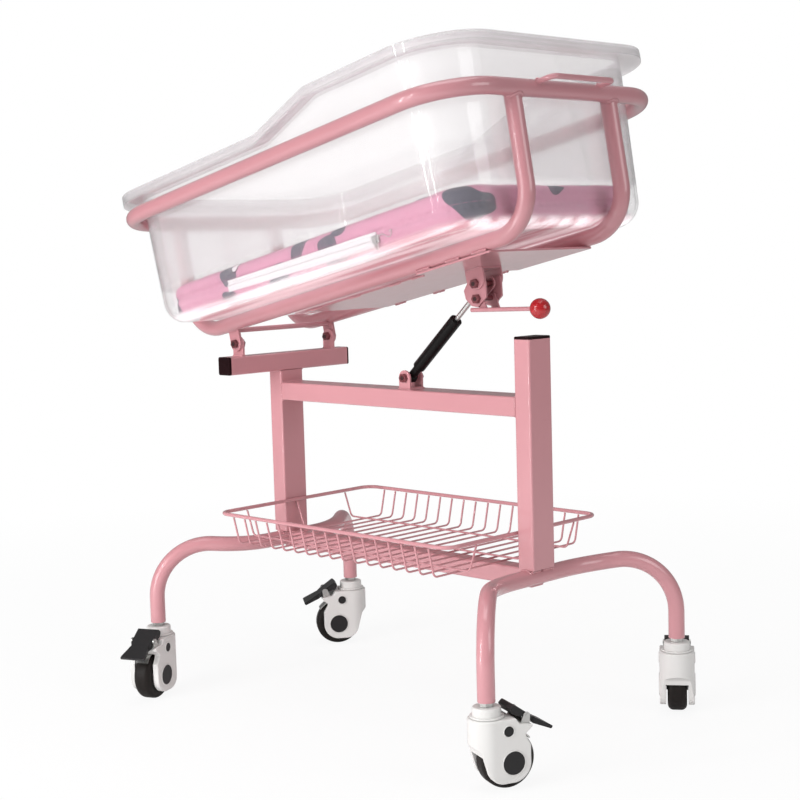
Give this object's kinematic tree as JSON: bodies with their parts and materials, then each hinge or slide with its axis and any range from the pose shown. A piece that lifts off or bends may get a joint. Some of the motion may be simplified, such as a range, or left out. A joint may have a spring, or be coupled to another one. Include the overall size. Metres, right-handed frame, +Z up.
{
  "type": "hospital bassinet",
  "caption": "Clear tub with mattress in a tilting tube cradle with gas spring and release lever, on a wheeled stand with wire basket and braked casters",
  "frame": {"origin": "on the floor, under the middle of the stand, halfway between the posts and between the casters' stems", "axes": "+Z is up, +X runs from the foot end (hinge) to the head end (raised end with the handle), +Y across to the far side; the row is stored with the head end raised"},
  "size_m": [0.8623, 0.621, 1.0252],
  "materials": {
    "frame": "satin dusty pink powder coat",
    "frame_bolts": "painted over bolts",
    "black_plastic": "satin moulded",
    "basket_wire": "satin dusty pink powder coat",
    "clear_tub": "frosted clear moulding",
    "mattress_cover": "wipe-clean pink fabric with grey spots",
    "spring_cylinder": "semi-gloss black",
    "bright_steel": "zinc plated",
    "red_knob": "polished",
    "caster_housing": "satin moulded",
    "tyre": "smooth rubber",
    "wheel_centre": "moulded",
    "pedal": "satin moulded"
  },
  "bodies": {
    "stand": {"foot_head": "frame", "foot_foot": "frame", "post_head": "frame", "post_foot": "frame", "post_cap": "black_plastic", "t_beam": "frame", "t_beam_caps": "black_plastic", "crossbar": "frame", "lower_beam": "frame", "lower_hinge_lugs": "frame", "spring_clevis": "frame", "clevis_bolt": "frame_bolts", "basket_rim": "basket_wire", "basket_cross_wires": "basket_wire", "basket_long_wires": "basket_wire", "caster_stems": "bright_steel", "swivel_caps": "caster_housing"},
    "cradle": {"cradle_ring": "frame", "under_tube_near": "frame", "under_tube_far": "frame", "support_plate": "frame", "upper_hinge_lugs": "frame", "hinge_bolts": "frame_bolts", "upper_bracket": "frame", "lever_cheeks": "frame", "bracket_bolt": "frame_bolts", "push_handle": "frame"},
    "tub": {"tub": "clear_tub"},
    "mattress": {"mattress": "mattress_cover"},
    "spring_tube": {"gas_cylinder": "spring_cylinder"},
    "spring_rod": {"gas_rod": "bright_steel", "rod_nut": "bright_steel", "rod_end": "frame"},
    "release": {"release_lever": "frame", "lever_bolt": "frame_bolts", "lever_knob": "red_knob"},
    "foot_near_swivel": {"foot_near_housing": "caster_housing", "foot_near_caps": "black_plastic", "foot_near_axle_and_bracket": "bright_steel"},
    "foot_near_wheel": {"foot_near_tyre": "tyre", "foot_near_wheel_centre": "wheel_centre"},
    "foot_near_brake": {"foot_near_pedal": "pedal"},
    "head_near_swivel": {"head_near_housing": "caster_housing", "head_near_caps": "black_plastic", "head_near_axle_and_bracket": "bright_steel"},
    "head_near_wheel": {"head_near_tyre": "tyre", "head_near_wheel_centre": "wheel_centre"},
    "head_near_brake": {"head_near_pedal": "pedal"},
    "foot_far_swivel": {"foot_far_housing": "caster_housing", "foot_far_caps": "black_plastic", "foot_far_axle_and_bracket": "bright_steel"},
    "foot_far_wheel": {"foot_far_tyre": "tyre", "foot_far_wheel_centre": "wheel_centre"},
    "foot_far_brake": {"foot_far_pedal": "pedal"},
    "head_far_swivel": {"head_far_housing": "caster_housing", "head_far_caps": "black_plastic", "head_far_axle_and_bracket": "bright_steel"},
    "head_far_wheel": {"head_far_tyre": "tyre", "head_far_wheel_centre": "wheel_centre"},
    "head_far_brake": {"head_far_pedal": "pedal"}
  },
  "joints": [
    {"name": "cradle_tilt", "type": "hinge", "parent": "stand", "child": "cradle", "pos_m": [-0.275, 0, 0.5841], "axis": [0, 1, 0], "range_deg": [0, 12.19]},
    {"name": "tub_lift", "type": "slide", "parent": "cradle", "child": "tub", "axis": [-0.2112, 0, 0.9775], "range_m": [0, 0.3]},
    {"name": "mattress_lift", "type": "slide", "parent": "tub", "child": "mattress", "axis": [-0.2112, 0, 0.9775], "range_m": [0, 0.27]},
    {"name": "spring_swing", "type": "hinge", "parent": "stand", "child": "spring_tube", "pos_m": [0.0245, 0, 0.5316], "axis": [0, 1, 0], "range_deg": [0, 26.2]},
    {"name": "spring_stroke", "type": "slide", "parent": "spring_tube", "child": "spring_rod", "axis": [0.7368, 0, 0.6761], "range_m": [-0.0435, 0]},
    {"name": "release_lift", "type": "hinge", "parent": "cradle", "child": "release", "pos_m": [0.18581, 0, 0.65694], "axis": [0, -1, 0], "range_deg": [0, 8], "stiffness_Nm_per_rad": 2, "springref_deg": -20.05},
    {"name": "foot_near_swivel", "type": "hinge", "parent": "stand", "child": "foot_near_swivel", "pos_m": [-0.368, -0.2224, 0.1], "axis": [0, 0, 1], "continuous": true},
    {"name": "foot_near_roll", "type": "hinge", "parent": "foot_near_swivel", "child": "foot_near_wheel", "pos_m": [-0.35743, -0.2467, 0.04], "axis": [0.9171, 0.3987, 0], "continuous": true},
    {"name": "foot_near_pedal", "type": "hinge", "parent": "foot_near_swivel", "child": "foot_near_brake", "pos_m": [-0.34766, -0.26917, 0.101], "axis": [-0.9171, -0.3987, 0], "range_deg": [0, 7]},
    {"name": "head_near_swivel", "type": "hinge", "parent": "stand", "child": "head_near_swivel", "pos_m": [0.368, -0.2224, 0.1], "axis": [0, 0, 1], "continuous": true},
    {"name": "head_near_roll", "type": "hinge", "parent": "head_near_swivel", "child": "head_near_wheel", "pos_m": [0.37793, -0.19783, 0.04], "axis": [-0.9272, 0.3746, 0], "continuous": true},
    {"name": "head_near_pedal", "type": "hinge", "parent": "head_near_swivel", "child": "head_near_brake", "pos_m": [0.3871, -0.17511, 0.101], "axis": [0.9272, -0.3746, 0], "range_deg": [0, 7]},
    {"name": "foot_far_swivel", "type": "hinge", "parent": "stand", "child": "foot_far_swivel", "pos_m": [-0.368, 0.2224, 0.1], "axis": [0, 0, 1], "continuous": true},
    {"name": "foot_far_roll", "type": "hinge", "parent": "foot_far_swivel", "child": "foot_far_wheel", "pos_m": [-0.38395, 0.20124, 0.04], "axis": [0.7986, -0.6018, 0], "continuous": true},
    {"name": "foot_far_pedal", "type": "hinge", "parent": "foot_far_swivel", "child": "foot_far_brake", "pos_m": [-0.39869, 0.18167, 0.101], "axis": [-0.7986, 0.6018, 0], "range_deg": [0, 7]},
    {"name": "head_far_swivel", "type": "hinge", "parent": "stand", "child": "head_far_swivel", "pos_m": [0.368, 0.2224, 0.1], "axis": [0, 0, 1], "continuous": true},
    {"name": "head_far_roll", "type": "hinge", "parent": "head_far_swivel", "child": "head_far_wheel", "pos_m": [0.3528, 0.24411, 0.04], "axis": [-0.8192, -0.5736, 0], "continuous": true},
    {"name": "head_far_pedal", "type": "hinge", "parent": "head_far_swivel", "child": "head_far_brake", "pos_m": [0.33875, 0.26418, 0.101], "axis": [0.8192, 0.5736, 0], "range_deg": [0, 7]}
  ],
  "couplings": [
    {"joint": "spring_swing", "follows": "cradle_tilt", "ratio": 2.12},
    {"joint": "spring_stroke", "follows": "cradle_tilt", "m_per_rad": -0.201}
  ]
}
